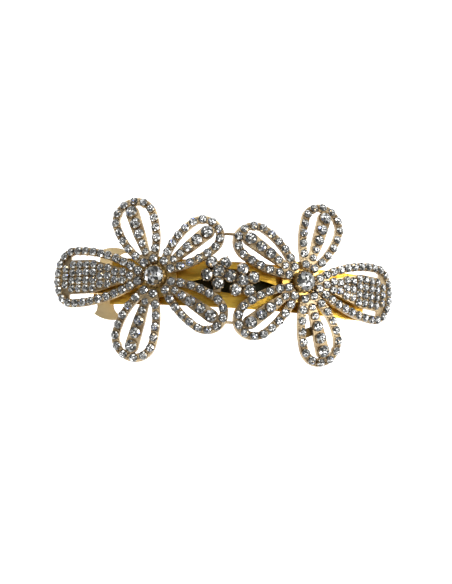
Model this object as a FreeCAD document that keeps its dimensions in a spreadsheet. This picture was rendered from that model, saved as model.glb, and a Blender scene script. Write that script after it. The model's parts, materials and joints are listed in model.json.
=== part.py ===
"""Rhinestone hair clip: two flowers of stone-set petals on a bowed barrette.

Millimetres. X runs along the clip, from the latch end (-X) to the hinge end (+X).
Y runs across it, and Z points out of the decorated face. The origin is at the
middle of the length and width, on the flat surface that the closed clip rests on.
"""
import FreeCAD, Part
import math
import os
import Sketcher

# name, value, meaning
DIMENSIONS = (
    ("apex_height", 16.0, "top of the bowed plate above the rest surface"),
    ("plate_radius", 70.0, "bow of the plate's upper face, seen from the side"),
    ("plate_thickness", 0.8, "sheet that the plate is stamped from"),
    ("plate_width", 12.4, "width of the plate"),
    ("plate_shift", -1.3, "Y of the plate's centreline, a little below the flowers' middle"),
    ("plate_body_end", 31.0, "X where the full width ends at the latch end"),
    ("plate_tongue_end", 41.0, "X of the narrow tongue's end at the latch end"),
    ("plate_tongue_half", 3.2, "half width of that tongue"),
    ("plate_hinge_end", 38.0, "X of the plate's hinge end"),
    ("slot_middle", 1.9, "X of the long slot's middle"),
    ("slot_half", 12.7, "half length of the long slot"),
    ("slot_rise", 2.3, "half width of the long slot"),
    ("side_slot_middle", 0.2, "X of the short slot's middle"),
    ("side_slot_half", 7.9, "half length of the short slot"),
    ("side_slot_rise", 0.7, "half width of the short slot"),
    ("side_slot_offset", 3.5, "the short slot's distance from the plate's centreline"),
    ("pin_x", 34.5, "X of the hinge pin"),
    ("pin_height", 2.2, "height of the hinge pin"),
    ("pin_radius", 0.8, "hinge pin"),
    ("pin_head_radius", 1.25, "peened end of the hinge pin"),
    ("pin_head_thickness", 0.35, "peened end of the hinge pin"),
    ("hinge_width", 10.9, "width across the two hinge lugs"),
    ("lug_half", 2.2, "half length of a hinge lug"),
    ("lug_foot_half", 1.2, "half length of a lug's flat foot"),
    ("lug_corner", 2.4, "rounded lower corners of a lug"),
    ("lug_thickness", 0.8, "sheet of a hinge lug"),
    ("running_gap", 0.05, "radial clearance of a turning joint"),
    ("arm_radius", 146.5, "bow of the arm's upper face"),
    ("arm_height", 5.4, "top of the arm at its middle"),
    ("arm_thickness", 0.8, "sheet of the arm"),
    ("arm_width", 9.0, "width of the arm"),
    ("arm_tip", 35.4, "distance of the arm's free end from the middle"),
    ("arm_knuckle", 1.8, "outer radius of the arm's rolled knuckle"),
    ("window_near", 28.8, "distance of the latch window's near edge from the middle"),
    ("window_far", 34.4, "distance of the latch window's far edge from the middle"),
    ("window_half", 3.1, "half width of the latch window"),
    ("bar_radius", 93.3, "bow of the tension bar's upper face"),
    ("bar_height", 12.4, "top of the tension bar at its middle"),
    ("bar_thickness", 0.4, "spring strip of the tension bar"),
    ("bar_width", 9.8, "width of the tension bar"),
    ("bar_half", 28.0, "half length of the tension bar"),
    ("keeper_x", 26.5, "distance of each keeper from the middle"),
    ("keeper_length", 1.6, "length of a keeper along the clip"),
    ("keeper_inner_half", 5.1, "half width of the way through a keeper"),
    ("keeper_wall", 0.6, "side walls of a keeper"),
    ("keeper_floor", 7.3, "underside of a keeper's strap"),
    ("keeper_strap", 0.5, "thickness of a keeper's strap"),
    ("latch_wall_out", 36.5, "distance of the latch base's end wall from the middle"),
    ("latch_sheet", 0.6, "sheet of the latch base and jaws"),
    ("latch_inner_end", 29.0, "distance of the latch base's inner end from the middle"),
    ("latch_width", 6.4, "width of the latch base"),
    ("pivot_half", 2.3, "distance of a jaw's pivot from the plate's centreline"),
    ("pivot_height", 4.0, "height of the jaws' pivots"),
    ("pivot_radius", 0.3, "jaw pivot wire"),
    ("pivot_reach", 29.3, "distance of the pivots' inner ends from the middle"),
    ("jaw_near", 29.6, "distance of a jaw's near edge from the middle"),
    ("jaw_far", 33.6, "distance of a jaw's far edge from the middle"),
    ("jaw_curl", 0.75, "outer radius of a jaw's rolled top"),
    ("jaw_foot", 0.35, "height of a jaw's lower edge"),
    ("ear_floor", 3.5, "underside of a squeeze ear"),
    ("ear_neck", 6.0, "where an ear's neck starts to flare"),
    ("neck_near", 29.8, "distance of an ear's neck from the middle, near side"),
    ("neck_far", 34.3, "distance of an ear's neck from the middle, far side"),
    ("ear_shoulder", 8.4, "where an ear's outer edge starts"),
    ("ear_near", 25.7, "distance of an ear's near corner from the middle"),
    ("ear_far", 35.0, "distance of an ear's far corner from the middle"),
    ("ear_edge_radius", 8.0, "shallow arc of an ear's outer edge"),
    ("ear_near_notch", 3.0, "finger notch beside an ear's neck"),
    ("ear_far_notch", 2.6, "finger notch on the other side of the neck"),
    ("flower_angle", 15.7, "each flower's place round the plate's bow, from the middle"),
    ("left_flower_y", -0.4, "Y of the left flower's middle"),
    ("right_flower_y", 0.6, "Y of the right flower's middle"),
    ("flower_height", 3.6, "top of a flower's middle above the plate"),
    ("dome_radius", 62.0, "upper face of the domed petals"),
    ("frame_thickness", 1.2, "cast petal frame"),
    ("band_half", 1.05, "half width of the band that carries a petal's edge stones"),
    ("root_hole", 3.5, "radius where the petals' roots start"),
    ("root_reach", 4.45, "distance of the first edge stones from the flower's middle"),
    ("root_half", 1.35, "distance of the first edge stones from the petal's axis"),
    ("outer_tip", 22.2, "tip of the edge line of a slim petal beside the wide one"),
    ("outer_half", 5.2, "half width of that edge line, and its tip's radius"),
    ("inner_tip", 21.0, "tip of the edge line of a slim petal near the clip's middle"),
    ("inner_half", 4.65, "half width of that edge line, and its tip's radius"),
    ("slim_gap_start", 6.9, "where the gaps beside a slim petal's tongue start"),
    ("slim_tongue_start", 1.05, "half width of the tongue at the gaps' start"),
    ("slim_tongue_bend", 12.0, "where the tongue's edge bends"),
    ("slim_tongue_middle", 1.6, "half width of the tongue at that bend"),
    ("tongue_inset", 3.0, "the tongue's last stone behind the tip of the edge line"),
    ("tongue_end", 1.85, "radius of the tongue's rounded end"),
    ("neck_angle", 32.0, "half angle of the neck that joins that end to the edge band"),
    ("wide_tip", 28.2, "tip of a wide petal's edge line"),
    ("wide_half", 7.1, "half width of a wide petal's edge line"),
    ("wide_corner", 4.2, "corner radius of a wide petal's edge line"),
    ("wide_end_radius", 11.0, "end radius of a wide petal's edge line"),
    ("wide_gap_start", 7.0, "where the gaps beside a wide petal's tongue start"),
    ("wide_gap_end", 24.4, "where they end"),
    ("wide_tongue_start", 1.4, "half width of the tongue at the gaps' start"),
    ("wide_tongue_bend", 18.0, "where the tongue's edge bends"),
    ("wide_tongue_middle", 4.5, "half width of the tongue at that bend"),
    ("wide_tongue_end", 4.6, "half width of the tongue at the gaps' end"),
    ("hub_radius", 5.6, "hub flange that the petals' roots sit on"),
    ("hub_flange", 0.8, "thickness of the hub flange at its edge"),
    ("hub_stem", 2.2, "radius of the hub's stem"),
    ("hub_foot", 3.2, "radius of the hub's foot on the plate"),
    ("hub_foot_thickness", 0.6, "thickness of that foot"),
    ("hub_seat", 2.6, "radius of the middle stone's seat"),
    ("hub_seat_height", 0.25, "height of the seat above the petals' middle"),
    ("stone_gap", 0.02, "glue line under every stone"),
    ("edge_stone", 2.05, "diameter of an edge stone"),
    ("pave_stone", 2.05, "diameter of a wide petal's inner stones"),
    ("pave_start", 6.7, "distance of the first inner stone from the flower's middle"),
    ("pave_pitch", 2.1, "spacing of the inner stones' rows"),
    ("pave_spread", 2.15, "spacing of the inner stones along a row"),
    ("centre_stone", 4.7, "diameter of a flower's middle stone"),
    ("cluster_y", 0.52, "Y of the middle cluster"),
    ("rosette_x", 3.3, "each rosette's distance from the cluster's middle, along X"),
    ("rosette_y", 1.0, "the same along Y"),
    ("rosette_ring", 2.95, "radius of a rosette's ring of stones"),
    ("rosette_tilt", 25.0, "outward tilt of a ring stone"),
    ("rosette_height", 3.5, "a rosette's middle stone above the plate's apex"),
    ("bridge_stone_drop", 0.4, "the shared stone sits this much lower"),
    ("cluster_stone", 3.0, "diameter of a cluster stone"),
    ("cup_radius", 1.35, "cup under a cluster stone"),
    ("cup_depth", 1.3, "depth of that cup"),
    ("dish_radius", 2.6, "disc that joins a rosette's cups"),
    ("dish_thickness", 0.8, "thickness of that disc"),
    ("dish_drop", 1.7, "the disc's underside below the rosette's middle stone"),
    ("foot_length", 2.0, "a rosette's foot along the clip"),
    ("foot_sink", 0.5, "depth of the foot before it is trimmed to the plate"),
    ("foot_width", 4.8, "a rosette's foot across the clip, wider than the long slot"),
    ("upper_link_x", -0.6, "X of the upper link"),
    ("upper_link_y", 12.0, "Y of the upper link"),
    ("lower_link_x", 0.35, "X of the lower link"),
    ("lower_link_y", -11.6, "Y of the lower link"),
    ("link_height", 17.3, "height of the links"),
    ("link_radius", 0.4, "link wire"),
    ("link_length", 2.6, "link wire before it is trimmed to the petals"),
    ("brace_start", 12.0, "where the small brace under one petal starts"),
    ("brace_length", 2.4, "length of the brace along the petal"),
    ("brace_inner", 0.9, "the brace's inner end from the petal's axis"),
    ("brace_outer", 4.6, "the brace's outer end from the petal's axis"),
    ("brace_thickness", 0.4, "sheet of the brace"),
)
SLIM_PETALS = ("outer", "inner")
EDGE_STONES = {"outer": 16, "inner": 16, "wide": 26}
PAVE_ROWS = (1, 2, 2, 3, 3, 4, 4, 4, 4, 3)
# distance from the flower's middle, as a share of the last stone's, and diameter of each
# stone on a slim petal's tongue
TONGUE_STONES = ((0.37, 1.8), (0.5, 2.0), (0.645, 2.6), (0.815, 2.75), (1.0, 3.0))
# each petal's name and kind, and its direction from the clip's end, which differs a little
# between the left flower and the right one
PETALS = (
    ("wide", "wide", {"left": 0, "right": -1.5}),
    ("upper_outer", "outer", {"left": -66, "right": 70}),
    ("upper_inner", "inner", {"left": -136, "right": 145}),
    ("lower_inner", "inner", {"left": 147, "right": -139}),
    ("lower_outer", "outer", {"left": 72, "right": -66.5}),
)
SIDES = {"left": -1, "right": 1}
ROSETTE_STONES = 5
# back radius, girdle height, table radius and table height, as shares of a stone's radius
STONE_SHARES = (0.72, 0.4, 0.55, 0.85)
DOME_SAMPLES = 600
FULL_TURN = 360.0
ROSETTE_STEP = 72.0
X_AXIS = FreeCAD.Vector(1, 0, 0)
Y_AXIS = FreeCAD.Vector(0, 1, 0)
Z_AXIS = FreeCAD.Vector(0, 0, 1)

doc = FreeCAD.newDocument("rhinestone_hair_clip")


# ---------------------------------------------------------------- sheet and helpers

def make_sheet():
    """Put the driving dimensions in the document's spreadsheet."""
    cells = doc.addObject("Spreadsheet::Sheet", "dim")
    for row, (alias, value, meaning) in enumerate(DIMENSIONS, start=1):
        cells.set(f"A{row}", meaning)
        cells.set(f"B{row}", str(value))
        cells.setAlias(f"B{row}", alias)
    doc.recompute()
    return cells


sheet = make_sheet()


def measure(expression):
    """The value of an expression in the sheet's names."""
    return float(sheet.evalExpression(expression))


def bow(crest, radius, reach):
    """Height at X = reach of an arc about the Y axis, whose highest point is crest."""
    return f"({crest} - ({radius}) + sqrt(({radius})^2 - ({reach})^2))"


def new_body(name):
    return doc.addObject("PartDesign::Body", name)


def new_sketch(body, name, plane, offset=None):
    """A sketch on one of the body's origin planes, moved along its normal by offset."""
    sketch = body.newObject("Sketcher::SketchObject", f"{body.Name}_{name}")
    support = next(item for item in body.Origin.OriginFeatures if item.Role == plane)
    sketch.AttachmentSupport = [(support, "")]
    sketch.MapMode = "FlatFace"
    if offset:
        sketch.setExpression("AttachmentOffset.Base.z", offset)
    return sketch


def bind(sketch, constraint, expression):
    """Add a constraint whose value follows an expression."""
    index = sketch.addConstraint(constraint)
    name = f"size_{index}"
    sketch.renameConstraint(index, name)
    sketch.setExpression(f"Constraints.{name}", expression)


def arc_between(start, end, radius, turn):
    """The minor arc from start to end that turns left or right."""
    chord = end - start
    across = FreeCAD.Vector(-chord.y, chord.x, 0).normalize()
    rise = math.sqrt(max(radius ** 2 - (chord.Length / 2) ** 2, 0))
    side = 1 if turn == "left" else -1
    centre = (start + end) * 0.5 + across * rise * side
    first, last = (start, end) if turn == "left" else (end, start)
    angles = [math.atan2(point.y - centre.y, point.x - centre.x) for point in (first, last)]
    return Part.ArcOfCircle(Part.Circle(centre, Z_AXIS, radius), *angles)


def draw(sketch, corners, flip=False):
    """Draw a closed outline whose corners and radii follow the sheet.

    A corner is (x, y), reached by a straight edge, or (x, y, radius, turn), reached by
    an arc. With flip the outline is mirrored in the sketch's X axis.
    """
    if flip:
        other = {"left": "right", "right": "left"}
        corners = [(x, f"-({y})", *(arc and (arc[0], other[arc[1]]))) for x, y, *arc in corners]
    points = [FreeCAD.Vector(measure(x), measure(y), 0) for x, y, *arc in corners]
    edges = []
    for index, (x, y, *arc) in enumerate(corners):
        start = points[index - 1]
        end = points[index]
        if arc:
            curve = arc_between(start, end, measure(arc[0]), arc[1])
            edge = sketch.addGeometry(curve, False)
            ends = (1, 2) if arc[1] == "left" else (2, 1)
            bind(sketch, Sketcher.Constraint("Radius", edge, measure(arc[0])), arc[0])
        else:
            edge = sketch.addGeometry(Part.LineSegment(start, end), False)
            ends = (1, 2)
        edges.append((edge, *ends))
    for index, (edge, _, finish) in enumerate(edges):
        following, begin, _ = edges[(index + 1) % len(edges)]
        sketch.addConstraint(Sketcher.Constraint("Coincident", edge, finish, following, begin))
        x, y = corners[index][:2]
        across = Sketcher.Constraint("DistanceX", -1, 1, edge, finish, points[index].x)
        up = Sketcher.Constraint("DistanceY", -1, 1, edge, finish, points[index].y)
        bind(sketch, across, x)
        bind(sketch, up, y)


def draw_circle(sketch, x, y, radius):
    centre = FreeCAD.Vector(measure(x), measure(y), 0)
    edge = sketch.addGeometry(Part.Circle(centre, Z_AXIS, measure(radius)), False)
    bind(sketch, Sketcher.Constraint("Radius", edge, measure(radius)), radius)
    bind(sketch, Sketcher.Constraint("DistanceX", -1, 1, edge, 3, centre.x), x)
    bind(sketch, Sketcher.Constraint("DistanceY", -1, 1, edge, 3, centre.y), y)


def draw_box(sketch, low_x, low_y, high_x, high_y):
    draw(sketch, [(low_x, low_y), (high_x, low_y), (high_x, high_y), (low_x, high_y)])


def extrude(body, kind, sketch, length, symmetric=True, reverse=False):
    """A Pad or Pocket of a sketch; length None cuts through everything."""
    feature = body.newObject(f"PartDesign::{kind}", f"{sketch.Name}_{kind.lower()}")
    feature.Profile = sketch
    if length is None:
        feature.Type = "ThroughAll"
        symmetric = False
    else:
        feature.setExpression("Length", length)
    if symmetric:
        feature.SideType = "Symmetric"
    feature.Reversed = reverse
    return feature


def revolve(body, sketch):
    """Turn a sketch once round its vertical axis."""
    feature = body.newObject("PartDesign::Revolution", f"{sketch.Name}_revolution")
    feature.Profile = sketch
    feature.ReferenceAxis = (sketch, ["V_Axis"])
    feature.Angle = FULL_TURN
    return feature


def primitive(kind, name, **sizes):
    """A Part primitive whose properties follow the sheet."""
    item = doc.addObject(f"Part::{kind}", name)
    for prop, expression in sizes.items():
        item.setExpression(prop.replace("_", "."), expression)
    return item


def boolean(kind, name, base, tool):
    item = doc.addObject(f"Part::{kind}", name)
    item.Base = base
    item.Tool = tool
    return item


def on_plate_line(item):
    """Shift a sub-part from Y = 0 to the plate's centreline."""
    item.setExpression("Placement.Base.y", "dim.plate_shift")
    return item


# ---------------------------------------------------------------- the barrette

PLATE_INNER = "(dim.plate_radius - dim.plate_thickness)"
PLATE_MIDDLE = "(dim.plate_radius - dim.plate_thickness / 2)"


def plate_top(reach):
    return bow("dim.apex_height", "dim.plate_radius", reach)


def plate_under(reach):
    return bow("(dim.apex_height - dim.plate_thickness)", PLATE_INNER, reach)


def band(crest, radius, thickness, left, right):
    """Side view of a bowed strip, from X = left to X = right."""
    inner = f"({radius} - {thickness})"
    floor = f"({crest} - {thickness})"
    return [
        (left, bow(floor, inner, left)),
        (right, bow(floor, inner, right), inner, "right"),
        (right, bow(crest, radius, right)),
        (left, bow(crest, radius, left), radius, "left"),
    ]


def lens(middle, half, offset, rise):
    """A pointed slot: two arcs between its ends."""
    radius = f"(({half})^2 + ({rise})^2) / (2 * {rise})"
    return [
        (f"{middle} - {half}", offset, radius, "left"),
        (f"{middle} + {half}", offset, radius, "left"),
    ]


def make_base_plate():
    """The bowed plate with its latch tongue, two pointed slots and two hinge lugs."""
    body = new_body("base_plate")
    side = new_sketch(body, "side", "XZ_Plane")
    draw(side, band("dim.apex_height", "dim.plate_radius", "dim.plate_thickness",
                    "-dim.plate_tongue_end", "dim.plate_hinge_end"))
    extrude(body, "Pad", side, "dim.plate_width")

    tongue = new_sketch(body, "tongue", "XY_Plane")
    beyond = "-(dim.plate_tongue_end + dim.plate_thickness)"
    outside = "dim.plate_width"
    draw_box(tongue, beyond, "dim.plate_tongue_half", "-dim.plate_body_end", outside)
    draw_box(tongue, beyond, f"-{outside}", "-dim.plate_body_end", "-dim.plate_tongue_half")
    extrude(body, "Pocket", tongue, None, reverse=True)

    slots = new_sketch(body, "slots", "XY_Plane")
    draw(slots, lens("dim.slot_middle", "dim.slot_half", "0", "dim.slot_rise"))
    draw(slots, lens("dim.side_slot_middle", "dim.side_slot_half", "dim.side_slot_offset",
                     "dim.side_slot_rise"))
    extrude(body, "Pocket", slots, None, reverse=True)

    near = "(dim.pin_x - dim.lug_half)"
    far = "(dim.pin_x + dim.lug_half)"
    middle_crest = "(dim.apex_height - dim.plate_thickness / 2)"
    lugs = new_sketch(body, "lugs", "XZ_Plane")
    draw(lugs, [
        ("dim.pin_x + dim.lug_foot_half", "0"),
        (far, "dim.pin_height", "dim.lug_corner", "left"),
        (far, bow(middle_crest, PLATE_MIDDLE, far)),
        (near, bow(middle_crest, PLATE_MIDDLE, near), PLATE_MIDDLE, "left"),
        (near, "dim.pin_height"),
        ("dim.pin_x - dim.lug_foot_half", "0", "dim.lug_corner", "left"),
    ])
    extrude(body, "Pad", lugs, "dim.hinge_width")

    between = new_sketch(body, "between_lugs", "XZ_Plane")
    start = f"({near} - dim.plate_thickness)"
    end = f"({far} + dim.plate_thickness)"
    draw(between, [
        (start, "-dim.plate_thickness"),
        (end, "-dim.plate_thickness"),
        (end, plate_under(end)),
        (start, plate_under(start), PLATE_INNER, "left"),
    ])
    extrude(body, "Pocket", between, "dim.hinge_width - 2 * dim.lug_thickness")

    bore = new_sketch(body, "pin_bore", "XZ_Plane")
    draw_circle(bore, "dim.pin_x", "dim.pin_height", "dim.pin_radius")
    extrude(body, "Pocket", bore, "dim.plate_width * 2")
    return on_plate_line(body)


def make_clasp_arm():
    """The arm that closes over the hair: a bowed strip, a rolled knuckle and a latch window."""
    body = new_body("clasp_arm")
    side = new_sketch(body, "side", "XZ_Plane")
    draw(side, band("dim.arm_height", "dim.arm_radius", "dim.arm_thickness",
                    "-dim.arm_tip", "dim.pin_x"))
    extrude(body, "Pad", side, "dim.arm_width")

    knuckle = new_sketch(body, "knuckle", "XZ_Plane")
    draw_circle(knuckle, "dim.pin_x", "dim.pin_height", "dim.arm_knuckle")
    extrude(body, "Pad", knuckle, "dim.arm_width")

    bore = new_sketch(body, "bore", "XZ_Plane")
    draw_circle(bore, "dim.pin_x", "dim.pin_height", "dim.pin_radius + dim.running_gap")
    extrude(body, "Pocket", bore, "dim.arm_width * 2")

    window = new_sketch(body, "window", "XY_Plane")
    draw_box(window, "-dim.window_far", "-dim.window_half", "-dim.window_near", "dim.window_half")
    extrude(body, "Pocket", window, None, reverse=True)
    return on_plate_line(body)


def make_tension_bar():
    """The bowed spring strip between the plate and the hair."""
    body = new_body("tension_bar")
    side = new_sketch(body, "side", "XZ_Plane")
    draw(side, band("dim.bar_height", "dim.bar_radius", "dim.bar_thickness",
                    "-dim.bar_half", "dim.bar_half"))
    extrude(body, "Pad", side, "dim.bar_width")
    return on_plate_line(body)


def make_hinge_pin():
    """A plain pin across both lugs, peened over at each end."""
    shaft = primitive("Cylinder", "pin_shaft", Radius="dim.pin_radius", Height="dim.hinge_width")
    near = primitive("Cylinder", "pin_near_head", Radius="dim.pin_head_radius",
                     Height="dim.pin_head_thickness",
                     Placement_Base_z="-dim.pin_head_thickness")
    far = primitive("Cylinder", "pin_far_head", Radius="dim.pin_head_radius",
                    Height="dim.pin_head_thickness", Placement_Base_z="dim.hinge_width")
    pin = doc.addObject("Part::MultiFuse", "hinge_pin")
    pin.Shapes = [shaft, near, far]
    start = FreeCAD.Vector(measure("dim.pin_x"), measure("dim.plate_shift - dim.hinge_width / 2"),
                           measure("dim.pin_height"))
    pin.Placement = FreeCAD.Placement(start, FreeCAD.Rotation(Z_AXIS, Y_AXIS))
    return pin


def make_keeper(name, side):
    """A stirrup under the plate that one end of the tension bar slides in."""
    left = f"({side} * dim.keeper_x - dim.keeper_length / 2)"
    outer_half = "(dim.keeper_inner_half + dim.keeper_wall)"
    block = primitive("Box", f"{name}_block", Length="dim.keeper_length",
                      Width=f"2 * {outer_half}", Height="dim.apex_height - dim.keeper_floor",
                      Placement_Base_x=left, Placement_Base_y=f"dim.plate_shift - {outer_half}",
                      Placement_Base_z="dim.keeper_floor")
    way = primitive("Box", f"{name}_way", Length="dim.keeper_length",
                    Width="2 * dim.keeper_inner_half", Height="dim.apex_height",
                    Placement_Base_x=left,
                    Placement_Base_y="dim.plate_shift - dim.keeper_inner_half",
                    Placement_Base_z="dim.keeper_floor + dim.keeper_strap")
    stirrup = boolean("Cut", f"{name}_stirrup", block, way)
    under_plate = primitive("Cylinder", f"{name}_trim", Radius=PLATE_INNER,
                            Height="2 * dim.plate_width")
    start = FreeCAD.Vector(0, -measure("dim.plate_width"),
                           measure("dim.apex_height - dim.plate_radius"))
    under_plate.Placement = FreeCAD.Placement(start, FreeCAD.Rotation(Z_AXIS, Y_AXIS))
    return boolean("Common", name, stirrup, under_plate)


# ---------------------------------------------------------------- the latch

def make_latch_base():
    """The latch bracket under the plate, with an end wall that the clip stands on."""
    body = new_body("latch_base")
    wall_out = "-dim.latch_wall_out"
    wall_in = "-(dim.latch_wall_out - dim.latch_sheet)"
    inner_end = "-dim.latch_inner_end"
    lower = f"({PLATE_INNER} - dim.latch_sheet)"
    lower_crest = "(dim.apex_height - dim.plate_thickness - dim.latch_sheet)"
    side = new_sketch(body, "side", "XZ_Plane")
    draw(side, [
        (wall_out, "0"),
        (wall_in, "0"),
        (wall_in, bow(lower_crest, lower, wall_in)),
        (inner_end, bow(lower_crest, lower, inner_end), lower, "right"),
        (inner_end, plate_under(inner_end)),
        (wall_out, plate_under(wall_out), PLATE_INNER, "left"),
    ])
    extrude(body, "Pad", side, "dim.latch_width")
    holes = new_sketch(body, "pivot_holes", "YZ_Plane")
    for y in ("dim.pivot_half", "-dim.pivot_half"):
        draw_circle(holes, y, "dim.pivot_height", "dim.pivot_radius")
    extrude(body, "Pocket", holes, None)
    return on_plate_line(body)


def make_latch_pivots():
    """Two short wires in the latch base's end wall, one for each jaw."""
    wires = []
    for name, side in (("upper", 1), ("lower", -1)):
        wire = primitive("Cylinder", f"{name}_pivot_wire", Radius="dim.pivot_radius",
                         Height="dim.latch_wall_out - dim.pivot_reach")
        start = FreeCAD.Vector(-measure("dim.latch_wall_out"),
                               measure(f"dim.plate_shift + {side} * dim.pivot_half"),
                               measure("dim.pivot_height"))
        wire.Placement = FreeCAD.Placement(start, FreeCAD.Rotation(Z_AXIS, X_AXIS))
        wires.append(wire)
    pivots = doc.addObject("Part::Compound", "latch_pivots")
    pivots.Links = wires
    return pivots


def make_latch_jaw(name, flip):
    """A jaw: a rolled top on its wire, a prong through the arm's window and a squeeze ear."""
    body = new_body(name)
    jaw_length = "dim.jaw_far - dim.jaw_near"
    side = "-1" if flip else "1"
    middle = f"{side} * dim.pivot_half"
    curl = new_sketch(body, "curl", "YZ_Plane", offset="-dim.jaw_near")
    draw_circle(curl, middle, "dim.pivot_height", "dim.jaw_curl")
    extrude(body, "Pad", curl, jaw_length, symmetric=False, reverse=True)

    prong = new_sketch(body, "prong", "YZ_Plane", offset="-dim.jaw_near")
    half = "dim.latch_sheet / 2"
    draw_box(prong, f"{middle} - {half}", "dim.jaw_foot", f"{middle} + {half}", "dim.pivot_height")
    extrude(body, "Pad", prong, jaw_length, symmetric=False, reverse=True)

    ear = new_sketch(body, "ear", "XY_Plane", offset="dim.ear_floor")
    draw(ear, [
        ("-dim.neck_far", "dim.pivot_half"),
        ("-dim.neck_near", "dim.pivot_half"),
        ("-dim.neck_near", "dim.ear_neck"),
        ("-dim.ear_near", "dim.ear_shoulder", "dim.ear_near_notch", "right"),
        ("-dim.ear_far", "dim.ear_shoulder", "dim.ear_edge_radius", "left"),
        ("-dim.neck_far", "dim.ear_neck", "dim.ear_far_notch", "right"),
    ], flip)
    extrude(body, "Pad", ear, "dim.latch_sheet", symmetric=False)

    bore = new_sketch(body, "bore", "YZ_Plane")
    draw_circle(bore, middle, "dim.pivot_height", "dim.pivot_radius + dim.running_gap")
    extrude(body, "Pocket", bore, None)
    return on_plate_line(body)


# ---------------------------------------------------------------- the flowers

def flank_radius(crown, half):
    """Radius of the arc from the first edge stone to the petal's widest point."""
    rise = f"({half} - dim.root_half)"
    return f"((({crown} - dim.root_reach)^2 + {rise}^2) / (2 * {rise}))"


def flank_offset(crown, half, reach, shift):
    """Half width, at a distance from the flower's middle, of that arc moved out by shift."""
    radius = flank_radius(crown, half)
    drop = f"sqrt(({radius} + ({shift}))^2 - ({crown} - {reach})^2)"
    return f"({half} - {radius} + {drop})"


WIDE_END_CENTRE = "(dim.wide_tip - dim.wide_end_radius)"
WIDE_RISE = "(dim.wide_half - dim.wide_corner)"
WIDE_REACH = "(dim.wide_end_radius - dim.wide_corner)"
WIDE_CROWN = f"({WIDE_END_CENTRE} + sqrt({WIDE_REACH}^2 - {WIDE_RISE}^2))"


def crown_of(kind):
    """Distance from the flower's middle to a petal's widest point."""
    return f"(dim.{kind}_tip - dim.{kind}_half)" if kind in SLIM_PETALS else WIDE_CROWN


def edge_line(kind, shift, start):
    """A petal's edge line moved out by shift, from one root round the tip to the other."""
    crown = crown_of(kind)
    half = f"dim.{kind}_half"
    flank = f"({flank_radius(crown, half)} + ({shift}))"
    root_width = flank_offset(crown, half, start, shift)
    widest = f"({half} + ({shift}))"
    if kind in SLIM_PETALS:
        tip = [
            (f"{crown} + {widest}", "0", widest, "left"),
            (crown, widest, widest, "left"),
        ]
    else:
        corner = f"(dim.wide_corner + ({shift}))"
        end = f"(dim.wide_end_radius + ({shift}))"
        join_x = f"{WIDE_END_CENTRE} + {end} * ({crown} - {WIDE_END_CENTRE}) / {WIDE_REACH}"
        join_y = f"{end} * {WIDE_RISE} / {WIDE_REACH}"
        tip = [
            (join_x, f"-({join_y})", corner, "left"),
            (join_x, join_y, end, "left"),
            (crown, widest, corner, "left"),
        ]
    return [
        (start, f"-{root_width}"),
        (crown, f"-{widest}", flank, "left"),
        *tip,
        (start, root_width, flank, "left"),
    ]


def tongue_edge(kind):
    """The +Y edge of a petal's tongue, from the root outwards."""
    if kind == "wide":
        return [
            ("dim.wide_gap_start", "dim.wide_tongue_start"),
            ("dim.wide_tongue_bend", "dim.wide_tongue_middle"),
            ("dim.wide_gap_end", "dim.wide_tongue_end"),
        ]
    last = f"(dim.{kind}_tip - dim.tongue_inset)"
    return [
        ("dim.slim_gap_start", "dim.slim_tongue_start"),
        ("dim.slim_tongue_bend", "dim.slim_tongue_middle"),
        (last, "dim.tongue_end"),
        (f"({last} + dim.tongue_end * cos(dim.neck_angle * 1 deg))",
         "dim.tongue_end * sin(dim.neck_angle * 1 deg)", "dim.tongue_end", "right"),
    ]


def side_gap(kind):
    """The open gap between a petal's tongue and its edge band, on the +Y side."""
    crown = crown_of(kind)
    half = f"dim.{kind}_half"
    corner = "dim.wide_corner" if kind == "wide" else half
    inner_corner = f"({corner} - dim.band_half)"
    inner_flank = f"({flank_radius(crown, half)} - dim.band_half)"
    tongue = tongue_edge(kind)
    start = tongue[0][0]
    end = tongue[-1][0]
    corner_y = f"({half} - {corner} + sqrt({inner_corner}^2 - ({end} - {crown})^2))"
    return [
        *tongue,
        (end, corner_y),
        (crown, f"{half} - dim.band_half", inner_corner, "left"),
        (start, flank_offset(crown, half, start, "-dim.band_half"), inner_flank, "left"),
    ]


def make_dome(body, top_radius, thickness, reach):
    """A domed ring about the flower's axis, from which a petal is cut."""
    def height(radius, distance):
        return f"(sqrt(({radius})^2 - ({distance})^2) - dim.dome_radius)"

    inner = f"({top_radius} - {thickness})"
    ring = new_sketch(body, "dome", "XZ_Plane")
    draw(ring, [
        ("dim.root_hole", height(inner, "dim.root_hole")),
        (reach, height(inner, reach), inner, "right"),
        (reach, height(top_radius, reach)),
        ("dim.root_hole", height(top_radius, "dim.root_hole"), top_radius, "left"),
    ])
    revolve(body, ring)


def make_petal_frame(name, kind):
    """A domed petal frame: an edge band and a tongue, joined at the root and at the tip."""
    body = new_body(name)
    reach = f"(dim.{kind}_tip + 2 * dim.band_half)"
    make_dome(body, "dim.dome_radius", "dim.frame_thickness", reach)
    outside = new_sketch(body, "outside", "XY_Plane")
    draw(outside, edge_line(kind, "dim.band_half", "(dim.root_hole - dim.band_half)"))
    draw_circle(outside, "0", "0", f"{reach} + dim.band_half")
    extrude(body, "Pocket", outside, None)
    gaps = new_sketch(body, "gaps", "XY_Plane")
    draw(gaps, side_gap(kind))
    draw(gaps, side_gap(kind), flip=True)
    extrude(body, "Pocket", gaps, None)
    return body


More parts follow.
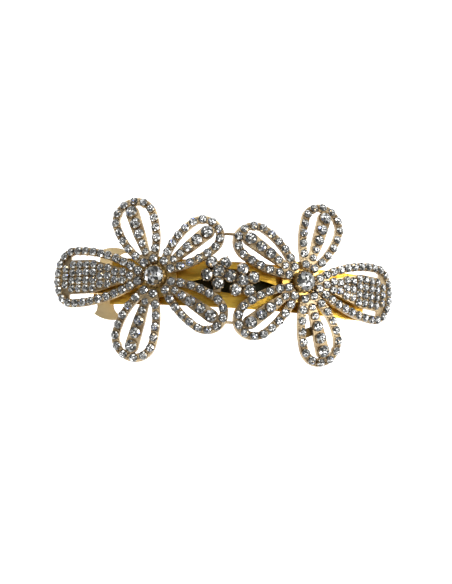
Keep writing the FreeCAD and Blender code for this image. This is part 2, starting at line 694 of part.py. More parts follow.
def make_brace():
    """A small strip under one petal, across the gap beside its tongue."""
    body = new_body("petal_brace")
    top = "(dim.dome_radius - dim.frame_thickness)"
    reach = "(dim.brace_start + dim.brace_length + dim.brace_outer)"
    make_dome(body, top, "dim.brace_thickness", reach)
    outside = new_sketch(body, "outside", "XY_Plane")
    draw_box(outside, "dim.brace_start", "-dim.brace_outer",
             "dim.brace_start + dim.brace_length", "-dim.brace_inner")
    draw_circle(outside, "0", "0", f"{reach} + dim.brace_length")
    extrude(body, "Pocket", outside, None)
    return body


def make_hub(name):
    """The hub: a foot on the plate, a stem, a domed flange and the middle stone's seat."""
    body = new_body(name)
    inner = "(dim.dome_radius - dim.frame_thickness)"

    def dome_height(distance):
        return f"(sqrt({inner}^2 - ({distance})^2) - dim.dome_radius)"

    floor = "-dim.flower_height"
    foot_top = "(dim.hub_foot_thickness - dim.flower_height)"
    flange_floor = f"({dome_height('dim.hub_radius')} - dim.hub_flange)"
    half = new_sketch(body, "half_section", "XZ_Plane")
    draw(half, [
        ("0", floor),
        ("dim.hub_foot", floor),
        ("dim.hub_foot", foot_top),
        ("dim.hub_stem", foot_top),
        ("dim.hub_stem", flange_floor),
        ("dim.hub_radius", flange_floor),
        ("dim.hub_radius", dome_height("dim.hub_radius")),
        ("dim.hub_seat", dome_height("dim.hub_seat"), inner, "left"),
        ("dim.hub_seat", "dim.hub_seat_height"),
        ("0", "dim.hub_seat_height"),
    ])
    revolve(body, half)
    return body


def make_stone(diameter):
    """A cut stone: a tapered back, a girdle, a sloped crown and a flat table."""
    radius = diameter / 2
    back, girdle, table, height = (share * radius for share in STONE_SHARES)
    corners = ((0, 0), (back, 0), (radius, girdle), (table, height), (0, height), (0, 0))
    section = Part.makePolygon([FreeCAD.Vector(x, 0, z) for x, z in corners])
    return Part.Face(section).revolve(FreeCAD.Vector(), Z_AXIS, FULL_TURN)


def seat_on_dome(x, y, diameter):
    """A stone that stands on the petals' upper face."""
    radius = measure("dim.dome_radius")
    up = FreeCAD.Vector(x, y, math.sqrt(radius ** 2 - x ** 2 - y ** 2)) / radius
    foot = up * (radius + measure("dim.stone_gap")) - Z_AXIS * radius
    stone = make_stone(diameter)
    stone.Placement = FreeCAD.Placement(foot, FreeCAD.Rotation(Z_AXIS, up))
    return stone


def spaced_along(corners, count):
    """Points at equal distances over the dome, along an open line of arcs."""
    points = [FreeCAD.Vector(measure(x), measure(y), 0) for x, y, *arc in corners]
    arcs = []
    for index in range(1, len(corners)):
        _, _, radius, turn = corners[index]
        curve = arc_between(points[index - 1], points[index], measure(radius), turn)
        arcs.append(curve.toShape())
    flat = Part.Wire(arcs).discretize(Number=DOME_SAMPLES)
    dome = measure("dim.dome_radius")
    lifted = [FreeCAD.Vector(p.x, p.y, math.sqrt(dome ** 2 - p.x ** 2 - p.y ** 2)) for p in flat]
    travelled = [0.0]
    for before, after in zip(lifted, lifted[1:]):
        travelled.append(travelled[-1] + before.distanceToPoint(after))
    chosen = []
    for step in range(count):
        target = travelled[-1] * step / (count - 1)
        nearest = min(range(len(flat)), key=lambda i: abs(travelled[i] - target))
        chosen.append(flat[nearest])
    return chosen


def edge_stones(kind):
    line = edge_line(kind, "0", "dim.root_reach")
    places = spaced_along(line, EDGE_STONES[kind])
    return [seat_on_dome(place.x, place.y, measure("dim.edge_stone")) for place in places]


def inner_stones(kind):
    """The tongue's stones: one row on a slim petal, ranks side by side on a wide one."""
    if kind in SLIM_PETALS:
        last = measure(f"dim.{kind}_tip - dim.tongue_inset")
        return [seat_on_dome(share * last, 0, diameter) for share, diameter in TONGUE_STONES]
    stones = []
    for row, count in enumerate(PAVE_ROWS):
        reach = measure("dim.pave_start") + row * measure("dim.pave_pitch")
        for index in range(count):
            across = (index - (count - 1) / 2) * measure("dim.pave_spread")
            stones.append(seat_on_dome(reach, across, measure("dim.pave_stone")))
    return stones


def stone_group(name, stones, placement=FreeCAD.Placement()):
    """Loose stones that share one node."""
    group = doc.addObject("Part::Feature", name)
    group.Shape = Part.Compound(stones)
    group.Placement = placement
    return group


def flower_placement(end):
    """Where a flower sits on the bowed plate."""
    angle = measure("dim.flower_angle")
    reach = measure("dim.plate_radius + dim.flower_height")
    turn = FreeCAD.Rotation(Y_AXIS, angle)
    bow_centre = Z_AXIS * measure("dim.apex_height - dim.plate_radius")
    place = FreeCAD.Placement(bow_centre + turn.multVec(Z_AXIS) * reach, turn)
    if end == "left":
        half_turn = FreeCAD.Rotation(Z_AXIS, FULL_TURN / 2)
        place = FreeCAD.Placement(FreeCAD.Vector(), half_turn) * place
    across = FreeCAD.Placement(Y_AXIS * measure(f"dim.{end}_flower_y"), FreeCAD.Rotation())
    return across * place


def make_flower(end):
    """One flower: hub, middle stone, and five petals with their stones."""
    whole = flower_placement(end)
    hub = make_hub(f"{end}_hub")
    hub.Placement = whole
    seat = Z_AXIS * measure("dim.hub_seat_height + dim.stone_gap")
    stone = make_stone(measure("dim.centre_stone"))
    stone.translate(seat)
    parts = [hub, stone_group(f"{end}_centre_stone", [stone], whole)]
    for name, kind, directions in PETALS:
        turn = FreeCAD.Rotation(Z_AXIS, directions[end])
        placement = whole * FreeCAD.Placement(FreeCAD.Vector(), turn)
        frame = make_petal_frame(f"{end}_{name}_frame", kind)
        frame.Placement = placement
        parts.append(frame)
        parts.append(stone_group(f"{end}_{name}_edge_stones", edge_stones(kind), placement))
        parts.append(stone_group(f"{end}_{name}_inner_stones", inner_stones(kind), placement))
    return parts


def make_link(name, first, second):
    """A short wire between two petals of different flowers, trimmed to their edges."""
    wire = primitive("Cylinder", f"{name}_wire", Radius="dim.link_radius", Height="dim.link_length")
    start = FreeCAD.Vector(measure(f"dim.{name}_x - dim.link_length / 2"), measure(f"dim.{name}_y"),
                           measure("dim.link_height"))
    wire.Placement = FreeCAD.Placement(start, FreeCAD.Rotation(Z_AXIS, X_AXIS))
    half_trimmed = boolean("Cut", f"{name}_half_trimmed", wire, first)
    return boolean("Cut", name, half_trimmed, second)


# ---------------------------------------------------------------- the middle cluster

def cluster_seats():
    """The foot and the upward direction of each cluster stone: two rosettes share one."""
    ring = measure("dim.rosette_ring")
    tilt = measure("dim.rosette_tilt")
    height = measure("dim.apex_height + dim.rosette_height")
    ball = ring / math.sin(math.radians(tilt))
    middle = FreeCAD.Vector(0, measure("dim.cluster_y"), height)
    offset = FreeCAD.Vector(-measure("dim.rosette_x"), measure("dim.rosette_y"), 0)
    seats = [(middle - Z_AXIS * measure("dim.bridge_stone_drop"), FreeCAD.Vector(Z_AXIS))]
    for side in (1, -1):
        heart = middle + offset * side
        seats.append((heart, FreeCAD.Vector(Z_AXIS)))
        towards_middle = math.degrees(math.atan2(-offset.y * side, -offset.x * side))
        for step in range(1, ROSETTE_STONES):
            turn = FreeCAD.Rotation(Z_AXIS, towards_middle + step * ROSETTE_STEP)
            up = turn.multVec(FreeCAD.Rotation(Y_AXIS, tilt).multVec(Z_AXIS))
            seats.append((heart + (up - Z_AXIS) * ball, up))
    return seats


def make_cluster_frame():
    """A cup for each cluster stone, on two discs whose feet bridge the plate's long slot."""
    pieces = []
    for number, (foot, up) in enumerate(cluster_seats()):
        cup = primitive("Cylinder", f"cluster_cup_{number}", Radius="dim.cup_radius",
                        Height="dim.cup_depth")
        bottom = foot - up * measure("dim.cup_depth")
        cup.Placement = FreeCAD.Placement(bottom, FreeCAD.Rotation(Z_AXIS, up))
        pieces.append(cup)
    disc_floor = "(dim.apex_height + dim.rosette_height - dim.dish_drop)"
    foot_rise = "dim.dish_thickness / 2 + dim.foot_sink - dim.apex_height"
    for name, side in SIDES.items():
        x = f"{side} * dim.rosette_x"
        disc = primitive("Cylinder", f"cluster_disc_{name}", Radius="dim.dish_radius",
                         Height="dim.dish_thickness", Placement_Base_x=x,
                         Placement_Base_y=f"dim.cluster_y - {side} * dim.rosette_y",
                         Placement_Base_z=disc_floor)
        foot = primitive("Box", f"cluster_foot_{name}", Length="dim.foot_length",
                         Width="dim.foot_width", Height=f"{disc_floor} + {foot_rise}",
                         Placement_Base_x=f"{x} - dim.foot_length / 2",
                         Placement_Base_y="dim.plate_shift - dim.foot_width / 2",
                         Placement_Base_z="dim.apex_height - dim.foot_sink")
        pieces.extend((disc, foot))
    whole = doc.addObject("Part::MultiFuse", "cluster_untrimmed")
    whole.Shapes = pieces
    plate = primitive("Cylinder", "cluster_trim", Radius="dim.plate_radius",
                      Height="2 * dim.plate_width")
    start = FreeCAD.Vector(0, -measure("dim.plate_width"),
                           measure("dim.apex_height - dim.plate_radius"))
    plate.Placement = FreeCAD.Placement(start, FreeCAD.Rotation(Z_AXIS, Y_AXIS))
    return boolean("Cut", "cluster_frame", whole, plate)


def make_cluster_stones():
    stones = []
    for foot, up in cluster_seats():
        stone = make_stone(measure("dim.cluster_stone"))
        place = foot + up * measure("dim.stone_gap")
        stone.Placement = FreeCAD.Placement(place, FreeCAD.Rotation(Z_AXIS, up))
        stones.append(stone)
    return stone_group("cluster_stones", stones)


# ---------------------------------------------------------------- assembly

def make_parts():
    parts = [
        make_base_plate(),
        make_clasp_arm(),
        make_tension_bar(),
        make_hinge_pin(),
        make_keeper("latch_end_keeper", -1),
        make_keeper("hinge_end_keeper", 1),
        make_latch_base(),
        make_latch_pivots(),
        make_latch_jaw("upper_latch_jaw", flip=False),
        make_latch_jaw("lower_latch_jaw", flip=True),
        make_cluster_frame(),
        make_cluster_stones(),
    ]
    for end in SIDES:
        parts.extend(make_flower(end))
    for row in ("upper", "lower"):
        inner_petals = [doc.getObject(f"{end}_{row}_inner_frame") for end in SIDES]
        parts.append(make_link(f"{row}_link", *inner_petals))
    brace = make_brace()
    brace.Placement = doc.getObject("right_lower_outer_frame").Placement
    parts.append(brace)
    return parts


def check(parts):
    """Stop if any object failed to build, or a sub-part is not a sound solid."""
    for item in doc.Objects:
        if "Invalid" in item.State or "Error" in item.State:
            raise RuntimeError(f"{item.Name} did not build: {item.State}")
    for part in parts:
        shape = part.Shape
        if shape.isNull() or not shape.isValid() or not shape.Solids:
            raise RuntimeError(f"{part.Label} is not a valid solid")


def export(parts):
    os.makedirs("parts", exist_ok=True)
    for part in parts:
        part.Shape.exportStep(os.path.join("parts", f"{part.Label}.step"))
        print(f"{part.Label}: {len(part.Shape.Solids)} solid(s), {part.Shape.Volume:.2f} mm3")


all_parts = make_parts()
doc.recompute()
check(all_parts)
export(all_parts)
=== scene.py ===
"""Looks of the rhinestone hair clip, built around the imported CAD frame."""
import json
import math
import random

import bmesh
import bpy
import numpy as np
from mathutils import Matrix, Vector


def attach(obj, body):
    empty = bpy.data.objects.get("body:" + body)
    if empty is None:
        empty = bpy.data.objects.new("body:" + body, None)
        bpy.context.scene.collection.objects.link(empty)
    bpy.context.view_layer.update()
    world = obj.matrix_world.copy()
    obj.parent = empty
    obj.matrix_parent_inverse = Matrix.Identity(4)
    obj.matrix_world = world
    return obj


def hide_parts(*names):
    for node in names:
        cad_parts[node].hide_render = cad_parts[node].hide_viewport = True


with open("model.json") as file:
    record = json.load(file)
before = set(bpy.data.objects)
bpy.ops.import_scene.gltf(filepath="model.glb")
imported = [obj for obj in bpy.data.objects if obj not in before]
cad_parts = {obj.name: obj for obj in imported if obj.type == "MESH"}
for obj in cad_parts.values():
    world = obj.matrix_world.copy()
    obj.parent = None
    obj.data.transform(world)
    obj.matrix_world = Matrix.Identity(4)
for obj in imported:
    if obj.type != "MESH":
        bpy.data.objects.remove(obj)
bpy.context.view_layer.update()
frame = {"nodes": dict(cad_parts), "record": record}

MM = 0.001
ENDS = ("left", "right")
PETALS = ("wide", "upper_outer", "upper_inner", "lower_inner", "lower_outer")
dice = random.Random(11)


# ---------------------------------------------------------------- reading the frame

def loose_parts(node):
    """The vertex positions of each separate solid of a CAD node, as arrays."""
    mesh = bmesh.new()
    mesh.from_mesh(frame["nodes"][node].data)
    bmesh.ops.remove_doubles(mesh, verts=mesh.verts, dist=0.001 * MM)
    seen = set()
    parts = []
    for start in mesh.verts:
        if start in seen:
            continue
        seen.add(start)
        part = [start]
        for vertex in part:
            for edge in vertex.link_edges:
                other = edge.other_vert(vertex)
                if other not in seen:
                    seen.add(other)
                    part.append(other)
        parts.append(np.array([vertex.co for vertex in part]))
    mesh.free()
    return parts


def stone_seats(node):
    """(matrix, radius) of each stone: its foot's middle, with Z along the stone's axis."""
    seats = []
    for points in loose_parts(node):
        middle = points.mean(0)
        spread, directions = np.linalg.eigh(np.cov((points - middle).T))
        axis = Vector(directions[:, 0])
        if axis.z < 0:
            axis = -axis
        heights = (points - middle) @ np.array(axis)
        across = (points - middle) - np.outer(heights, np.array(axis))
        radius = float(np.linalg.norm(across, axis=1).max())
        foot = Vector(middle) + axis * float(heights.min())
        turn = axis.to_track_quat("Z", "Y").to_matrix().to_4x4()
        seats.append((Matrix.Translation(foot) @ turn, radius))
    return seats


# ---------------------------------------------------------------- mesh helpers

class Builder:
    """Collects many small shapes into one mesh, with a tone for each face."""

    def __init__(self, name):
        self.name = name
        self.points = []
        self.faces = []
        self.tones = []

    def add(self, points, faces, matrix, tones=None):
        """Add one shape, placed by the matrix, with a tone for each face."""
        base = len(self.points)
        self.points.extend(matrix @ Vector(point) for point in points)
        self.faces.extend(tuple(base + index for index in face) for face in faces)
        self.tones.extend(tones or [(1, 1, 1)] * len(faces))

    def finish(self, material, body, smooth, replaces=()):
        """Make the piece and tie it to its body, finish and CAD nodes."""
        mesh = bpy.data.meshes.new(self.name)
        mesh.from_pydata(self.points, [], self.faces)
        mesh.materials.append(material)
        layer = mesh.attributes.new("tone", "FLOAT_COLOR", "CORNER")
        values = []
        for polygon, tone in zip(mesh.polygons, self.tones):
            polygon.use_smooth = smooth
            values.extend([*tone, 1.0] * polygon.loop_total)
        layer.data.foreach_set("color", values)
        mesh.update()
        piece = bpy.data.objects.new(self.name, mesh)
        bpy.context.scene.collection.objects.link(piece)
        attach(piece, body)
        if replaces:
            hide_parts(*replaces)
        return piece


def lathe(profile, sides):
    """Points and faces of a profile [(radius, height), ...] turned round Z."""
    points = []
    for radius, height in profile:
        for step in range(sides):
            angle = math.tau * step / sides
            points.append((radius * math.cos(angle), radius * math.sin(angle), height))
    faces = []
    for ring in range(len(profile) - 1):
        for step in range(sides):
            after = (step + 1) % sides
            low = ring * sides
            high = low + sides
            faces.append((low + step, low + after, high + after, high + step))
    return points, faces


def ball(rings=4, sides=8):
    """A unit sphere, for beads and claws."""
    profile = []
    for step in range(1, rings):
        angle = math.pi * step / rings
        profile.append((math.sin(angle), -math.cos(angle)))
    points, faces = lathe(profile, sides)
    bottom = len(points)
    points.extend([(0, 0, -1), (0, 0, 1)])
    last = (rings - 2) * sides
    for step in range(sides):
        after = (step + 1) % sides
        faces.append((bottom, after, step))
        faces.append((bottom + 1, last + step, last + after))
    return points, faces


# ---------------------------------------------------------------- cut stones

# Heights and radii are shares of the stone's radius.
TABLE_HEIGHT = 0.82
TABLE_RADIUS = 0.56
GIRDLE_TOP = 0.44
GIRDLE_LOW = 0.38
BACK_RADIUS = 0.72
SIDES = 8
HEART_RADIUS = 0.3
HEART_RIPPLE = 0.03
CROWN_RADIUS = 0.81
CROWN_HEIGHT = 0.65
# Facet colours of the cut stones are painted reflections in place of light seen through real facets:
# dark, grey and pale reflections, white glints, and blue and amber fire.
DARK_REFLECTION = (0.070, 0.071, 0.064)
GREY_REFLECTION = (0.19, 0.19, 0.18)
PALE_REFLECTION = (0.36, 0.36, 0.36)
WHITE_GLINT = (0.76, 0.76, 0.76)
BLUE_FIRE = (0.16, 0.20, 0.42)
AMBER_FIRE = (0.30, 0.22, 0.12)
REFLECTION_TONES = (DARK_REFLECTION, GREY_REFLECTION, PALE_REFLECTION, WHITE_GLINT, BLUE_FIRE, AMBER_FIRE)
# How often each painted reflection tone turns up on a crown facet and on a table facet.
CROWN_WEIGHTS = (34, 38, 16, 3, 0.5, 6)
TABLE_WEIGHTS = (24, 38, 25, 8, 1.5, 2)
# How far each kind of stone fills the space of its plain seat.
EDGE_SPREAD = 1.12
TONGUE_SPREAD = 1.09
PAVE_SPREAD = 1.06
CLUSTER_SPREAD = 1.07
CENTRE_SPREAD = 1.1
LEAN = math.radians(4)


def ring_points(count, radius, height, offset=0.0, ripple=0.0):
    """Points of a ring, alternately raised and lowered by the ripple."""
    points = []
    for step in range(count):
        angle = math.tau * (step + offset) / count
        rise = height + (ripple if step % 2 else -ripple)
        points.append((radius * math.cos(angle), radius * math.sin(angle), rise))
    return points


def cut_stone():
    """A round brilliant of unit radius: table, star, kite and girdle facets, and a back."""
    around = 2 * SIDES
    rings = [
        ring_points(SIDES, TABLE_RADIUS, TABLE_HEIGHT),
        ring_points(SIDES, HEART_RADIUS, TABLE_HEIGHT + 0.01, 0.5, HEART_RIPPLE),
        ring_points(SIDES, CROWN_RADIUS, CROWN_HEIGHT, 0.5),
        ring_points(around, 1.0, GIRDLE_TOP),
        ring_points(around, 1.0, GIRDLE_LOW),
        ring_points(around, BACK_RADIUS, 0.0),
    ]
    points = []
    starts = []
    for ring in rings:
        starts.append(len(points))
        points.extend(ring)
    table, heart, crown, girdle, waist, back = starts
    centre = len(points)
    points.append((0, 0, TABLE_HEIGHT - 0.02))
    faces = []
    kinds = []
    for step in range(SIDES):
        after = (step + 1) % SIDES
        before = (step - 1) % SIDES
        corner = girdle + 2 * step
        faces.append((centre, heart + step, heart + after))
        faces.append((table + step, heart + step, heart + before))
        faces.append((table + step, table + after, heart + step))
        kinds.extend([TABLE_WEIGHTS] * 3)
        faces.append((table + step, crown + step, table + after))
        faces.append((table + step, crown + before, corner, crown + step))
        faces.append((crown + step, corner, corner + 1))
        faces.append((crown + step, corner + 1, girdle + (2 * step + 2) % around))
        kinds.extend([CROWN_WEIGHTS] * 4)
    for step in range(around):
        after = (step + 1) % around
        faces.append((girdle + step, waist + step, waist + after, girdle + after))
        faces.append((waist + step, back + step, back + after, waist + after))
        kinds.extend([CROWN_WEIGHTS] * 2)
    faces.append(tuple(back + step for step in reversed(range(around))))
    kinds.append(CROWN_WEIGHTS)
    return points, faces, kinds


STONE_POINTS, STONE_FACES, STONE_KINDS = cut_stone()


def painted_reflection_tones():
    """A painted reflection tone for each facet of one stone, drawn at random."""
    tones = []
    for weights in STONE_KINDS:
        tone = dice.choices(REFLECTION_TONES, weights)[0]
        shade = dice.uniform(0.75, 1.25)
        tones.append(tuple(min(channel * shade, 1.0) for channel in tone))
    return tones


def add_stone(builder, seat, radius, spread=1.0):
    """A cut stone, turned at random and set a little crooked."""
    spin = Matrix.Rotation(dice.uniform(0, math.tau), 4, "Z")
    lean = Matrix.Rotation(dice.uniform(-LEAN, LEAN), 4, "X")
    size = Matrix.Scale(radius * spread, 4)
    builder.add(STONE_POINTS, STONE_FACES, seat @ spin @ lean @ size, painted_reflection_tones())


# ---------------------------------------------------------------- settings round the stones

# A cup's wall as (radius, height) shares of its stone's radius.
CUP = [(1.03, -1.05), (1.10, -0.95), (1.14, -0.3), (1.14, 0.18), (1.10, 0.30), (1.03, 0.32),
       (0.97, 0.24), (0.93, 0.02)]
BEAD = ball()


def add_cup(builder, seat, radius, sides=20, depth=1.0):
    """The metal cup that holds a stone."""
    profile = [(r, z * depth if z < 0 else z) for r, z in CUP]
    points, faces = lathe(profile, sides)
    builder.add(points, faces, seat @ Matrix.Scale(radius, 4))


# The collar's slope as (radius, height) in millimetres.
COLLAR = [(3.1, 0.0), (3.05, 0.2), (2.85, 0.45), (2.7, 0.75), (2.6, 0.82), (2.5, 0.75)]
COLLAR_LOBES = 12
COLLAR_WAVE = 0.05


def add_collar(builder, seat):
    """The fluted collar that rises from the petals' roots to a flower's middle stone."""
    points, faces = lathe([(r * MM, z * MM) for r, z in COLLAR], 6 * COLLAR_LOBES)
    fluted = []
    for x, y, z in points:
        swell = 1 + COLLAR_WAVE * math.cos(COLLAR_LOBES * math.atan2(y, x))
        fluted.append((x * swell, y * swell, z))
    builder.add(fluted, faces, seat)


def add_bead(builder, place, seat, size):
    """A small bead at a point in the frame, with its axis along the seat's."""
    turn = seat.to_3x3().to_4x4()
    builder.add(*BEAD, Matrix.Translation(place) @ turn @ Matrix.Scale(size, 4))


def add_claws(builder, seat, radius, count, size):
    """Claws round a stone's girdle, leaning on its crown."""
    start = dice.uniform(0, math.tau)
    for step in range(count):
        angle = start + math.tau * step / count
        out = Vector((math.cos(angle), math.sin(angle), 0))
        place = seat @ (out * radius * 1.02 + Vector((0, 0, 0.50 * radius)))
        add_bead(builder, place, seat, size)


NEIGHBOUR_REACH = 3.05 * MM
SHARED_BEAD = 0.25 * MM


def add_shared_beads(builder, seats, reach, size):
    """Beads between neighbouring stones, one on each side of the line through them."""
    for index, (first, radius) in enumerate(seats):
        for second, _ in seats[index + 1:]:
            gap = second.translation - first.translation
            if gap.length > reach:
                continue
            up = first.to_3x3().col[2].normalized()
            across = up.cross(gap).normalized()
            middle = (first.translation + second.translation) / 2 + up * radius * 0.42
            for side in (1, -1):
                add_bead(builder, middle + across * side * radius * 0.62, first, size)


# ---------------------------------------------------------------- materials

def new_material(name):
    """A new material with its nodes and links."""
    material = bpy.data.materials.new(name)
    material.use_nodes = True
    return material, material.node_tree.nodes, material.node_tree.links


def crystal_material():
    """Foil-backed crystal: each facet mirrors, and its base colour is a painted reflection of its own
    depth, with painted white glints and painted blue and amber fire.
    """
    material, nodes, links = new_material("crystal")
    shader = nodes["Principled BSDF"]
    # Each facet's painted reflection tone is its base colour.
    tone = nodes.new("ShaderNodeAttribute")
    tone.attribute_name = "tone"
    links.new(tone.outputs["Color"], shader.inputs["Base Color"])
    shader.inputs["Metallic"].default_value = 0.75
    shader.inputs["Roughness"].default_value = 0.14
    shader.inputs["Coat Weight"].default_value = 0.8
    shader.inputs["Coat Roughness"].default_value = 0.02
    return material


PATCH_SCALE = 260.0
GRAIN_SCALE = 1500.0


def gold_material(name, deep, bright, roughness, grain, stretch=1.0, ripple=0.05 * MM):
    """Plated metal: uneven polish, darker patches, and a grain that may run along X."""
    material, nodes, links = new_material(name)
    shader = nodes["Principled BSDF"]
    origin = nodes.new("ShaderNodeTexCoord")
    place = nodes.new("ShaderNodeMapping")
    place.inputs["Scale"].default_value = (1 / stretch, 1, 1)
    links.new(origin.outputs["Object"], place.inputs["Vector"])
    cloud = nodes.new("ShaderNodeTexNoise")
    cloud.inputs["Scale"].default_value = PATCH_SCALE
    cloud.inputs["Detail"].default_value = 4.0
    links.new(place.outputs["Vector"], cloud.inputs["Vector"])
    ramp = nodes.new("ShaderNodeValToRGB")
    ramp.color_ramp.elements[0].position = 0.35
    ramp.color_ramp.elements[0].color = (*deep, 1)
    ramp.color_ramp.elements[1].position = 0.65
    ramp.color_ramp.elements[1].color = (*bright, 1)
    links.new(cloud.outputs["Fac"], ramp.inputs["Fac"])
    links.new(ramp.outputs["Color"], shader.inputs["Base Color"])
    polish = nodes.new("ShaderNodeMapRange")
    polish.inputs["To Min"].default_value = roughness * 0.7
    polish.inputs["To Max"].default_value = roughness * 1.4
    links.new(cloud.outputs["Fac"], polish.inputs["Value"])
    links.new(polish.outputs["Result"], shader.inputs["Roughness"])
    fine = nodes.new("ShaderNodeTexNoise")
    fine.inputs["Scale"].default_value = GRAIN_SCALE
    links.new(place.outputs["Vector"], fine.inputs["Vector"])
    bump = nodes.new("ShaderNodeBump")
    bump.inputs["Strength"].default_value = grain
    bump.inputs["Distance"].default_value = ripple
    links.new(fine.outputs["Fac"], bump.inputs["Height"])
    links.new(bump.outputs["Normal"], shader.inputs["Normal"])
    shader.inputs["Metallic"].default_value = 1.0
    return material


crystal = crystal_material()
gold = gold_material("polished_gold", (0.52, 0.31, 0.07), (0.80, 0.55, 0.18), 0.28, 0.5, 7.0, 0.02 * MM)
plate = gold_material("streaked_gold", (0.48, 0.24, 0.02), (1.0, 0.66, 0.11), 0.32, 1.0, 7.0, 0.16 * MM)
setting = gold_material("setting_gold", (0.22, 0.15, 0.08), (0.52, 0.41, 0.25), 0.45, 0.7)
# Painted shade: a dark copy of the gold for the collar, the shaded ring round each middle stone.
shaded_collar_gold = gold_material("collar_painted_shade_gold", (0.13, 0.075, 0.022), (0.34, 0.22, 0.08), 0.42, 0.6)
# Painted shade: a near-black copy of the gold for the brace, which sits in shadow.
shaded_brace_gold = gold_material("brace_painted_shade_gold", (0.06, 0.035, 0.01), (0.14, 0.085, 0.025), 0.5, 0.4)
satin = gold_material("satin_gold", (0.84, 0.69, 0.40), (0.94, 0.82, 0.54), 0.55, 0.3, 4.0)
# Dark spring steel for the tension bar, its near-black colour also painting the shade seen through the
# plate's slot.
shade_dark_steel = gold_material("spring_steel_painted_shade", (0.020, 0.021, 0.012), (0.035, 0.036, 0.022), 0.4, 0.3)


# ---------------------------------------------------------------- pieces

def paint_frame():
    """Give every CAD node that stays visible its finish."""
    slots = {part["node"]: part["material_slot"] for part in frame["record"]["subparts"]}
    finishes = {"gold_plate": gold, "satin_gold": satin, "spring_steel": shade_dark_steel, "crystal": crystal}
    for name, piece in frame["nodes"].items():
        cast = name.endswith("_frame") or name.endswith("_link")
        piece.data.materials.clear()
        piece.data.materials.append(setting if cast else finishes[slots[name]])
    frame["nodes"]["base_plate"].data.materials[0] = plate
    # The brace gets the near-black gold that paints its shade.
    frame["nodes"]["petal_brace"].data.materials[0] = shaded_brace_gold


def make_edge(end, petal):
    """The stones round a petal's edge, in a scalloped row of cups with shared beads."""
    node = f"{end}_{petal}_edge_stones"
    seats = stone_seats(node)
    stones = Builder(f"{node}_cut")
    settings = Builder(f"{end}_{petal}_edge_cups")
    for seat, radius in seats:
        add_stone(stones, seat, radius, EDGE_SPREAD)
        add_cup(settings, seat, radius)
    add_shared_beads(settings, seats, NEIGHBOUR_REACH, SHARED_BEAD)
    stones.finish(crystal, "barrette", smooth=False, replaces=[node])
    settings.finish(setting, "barrette", smooth=True)


def make_inside(end, petal):
    """The stones on a petal's tongue, each in a cup with small claws."""
    node = f"{end}_{petal}_inner_stones"
    stones = Builder(f"{node}_cut")
    settings = Builder(f"{end}_{petal}_inner_cups")
    spread = PAVE_SPREAD if petal == "wide" else TONGUE_SPREAD
    for seat, radius in stone_seats(node):
        add_stone(stones, seat, radius, spread)
        add_cup(settings, seat, radius * 0.98, depth=0.5)
        add_claws(settings, seat, radius, 4, 0.17 * MM)
    stones.finish(crystal, "barrette", smooth=False, replaces=[node])
    settings.finish(setting, "barrette", smooth=True)


def make_centre(end):
    """A flower's middle stone in its ring of claws."""
    node = f"{end}_centre_stone"
    stones = Builder(f"{node}_cut")
    settings = Builder(f"{end}_centre_cup")
    collar = Builder(f"{end}_centre_collar")
    for seat, radius in stone_seats(node):
        add_stone(stones, seat, radius, CENTRE_SPREAD)
        add_cup(settings, seat, radius * 0.96, sides=40, depth=0.4)
        add_collar(collar, seat)
        add_claws(settings, seat, radius * 1.12, 12, 0.26 * MM)
    # The collar wears the dark gold that paints its shade.
    collar.finish(shaded_collar_gold, "barrette", smooth=True)
    stones.finish(crystal, "barrette", smooth=False, replaces=[node])
    settings.finish(setting, "barrette", smooth=True)


def make_cluster():
    """The middle cluster's stones in their cups."""
    node = "cluster_stones"
    stones = Builder(f"{node}_cut")
    settings = Builder("cluster_cups")
    for seat, radius in stone_seats(node):
        add_stone(stones, seat, radius, CLUSTER_SPREAD)
        add_cup(settings, seat, radius * 0.97, sides=28, depth=0.6)
        add_claws(settings, seat, radius, 4, 0.3 * MM)
    stones.finish(crystal, "barrette", smooth=False, replaces=[node])
    settings.finish(setting, "barrette", smooth=True)


# ---------------------------------------------------------------- studio

LENS = 110.0
SENSOR = 36.0
VIEW_HEIGHT = 156.0 * MM
CAMERA_SIDE = Vector((-0.087, -0.139, 0.986)).normalized()
ROLL = math.radians(2.8)
TARGET_HEIGHT = 12.5 * MM
AIM_RIGHT = -0.534 * MM
AIM_DOWN = 2.805 * MM


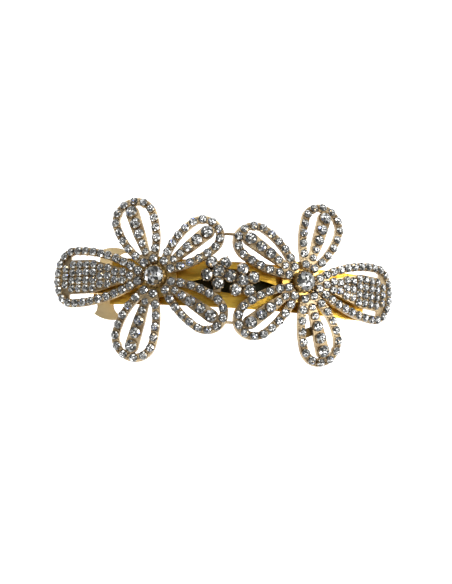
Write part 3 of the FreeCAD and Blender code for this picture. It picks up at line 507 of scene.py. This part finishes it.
def make_camera():
    """A long lens above the clip, tipped and rolled as the photograph is."""
    data = bpy.data.cameras.new("camera")
    data.lens = LENS
    data.sensor_width = SENSOR
    camera = bpy.data.objects.new("camera", data)
    bpy.context.scene.collection.objects.link(camera)
    up = Vector((-math.sin(ROLL), math.cos(ROLL), 0))
    back = CAMERA_SIDE
    right = up.cross(back).normalized()
    up = back.cross(right)
    turn = Matrix((right, up, back)).transposed().to_4x4()
    middle = Vector((0, 0, TARGET_HEIGHT))
    target = middle + right * AIM_RIGHT - up * AIM_DOWN
    distance = VIEW_HEIGHT * LENS / SENSOR
    camera.matrix_world = Matrix.Translation(target + back * distance) @ turn
    data.clip_start = 0.01
    bpy.context.scene.camera = camera


def make_light(name, place, size, power):
    """A square soft light aimed at the clip."""
    data = bpy.data.lights.new(name, "AREA")
    data.shape = "SQUARE"
    data.size = size
    data.energy = power
    light = bpy.data.objects.new(name, data)
    bpy.context.scene.collection.objects.link(light)
    light.location = place
    light.rotation_mode = "QUATERNION"
    light.rotation_quaternion = (-Vector(place)).to_track_quat("-Z", "Y")


FLOOR_DROP = 80.0 * MM
FLOOR_HALF = 1.5


def make_studio():
    """A white floor, low enough for the arm to swing fully open above it, and soft lights."""
    world = bpy.data.worlds.new("studio")
    world.use_nodes = True
    world.node_tree.nodes["Background"].inputs["Color"].default_value = (0.85, 0.87, 0.9, 1)
    world.node_tree.nodes["Background"].inputs["Strength"].default_value = 0.3
    bpy.context.scene.world = world
    bpy.context.scene.view_settings.view_transform = "Standard"
    mesh = bpy.data.meshes.new("floor")
    half = FLOOR_HALF
    mesh.from_pydata([(-half, -half, 0), (half, -half, 0), (half, half, 0), (-half, half, 0)],
                     [], [(0, 1, 2, 3)])
    material, nodes, links = new_material("floor")
    shader = nodes["Principled BSDF"]
    shader.inputs["Base Color"].default_value = (0.9, 0.9, 0.9, 1)
    shader.inputs["Roughness"].default_value = 0.9
    shader.inputs["Emission Color"].default_value = (1, 1, 1, 1)
    shader.inputs["Emission Strength"].default_value = 0.75
    mesh.materials.append(material)
    floor = bpy.data.objects.new("floor", mesh)
    bpy.context.scene.collection.objects.link(floor)
    floor.location.z = -FLOOR_DROP
    make_light("key", (0.50, 0.06, 0.42), 0.45, 5.0)
    make_light("back", (-0.14, 0.46, 0.40), 0.35, 2.4)
    make_light("front", (-0.20, -0.48, 0.36), 0.40, 2.6)


# ---------------------------------------------------------------- build

paint_frame()
for end in ENDS:
    make_centre(end)
    for petal in PETALS:
        make_edge(end, petal)
        make_inside(end, petal)
make_cluster()
make_camera()
make_studio()
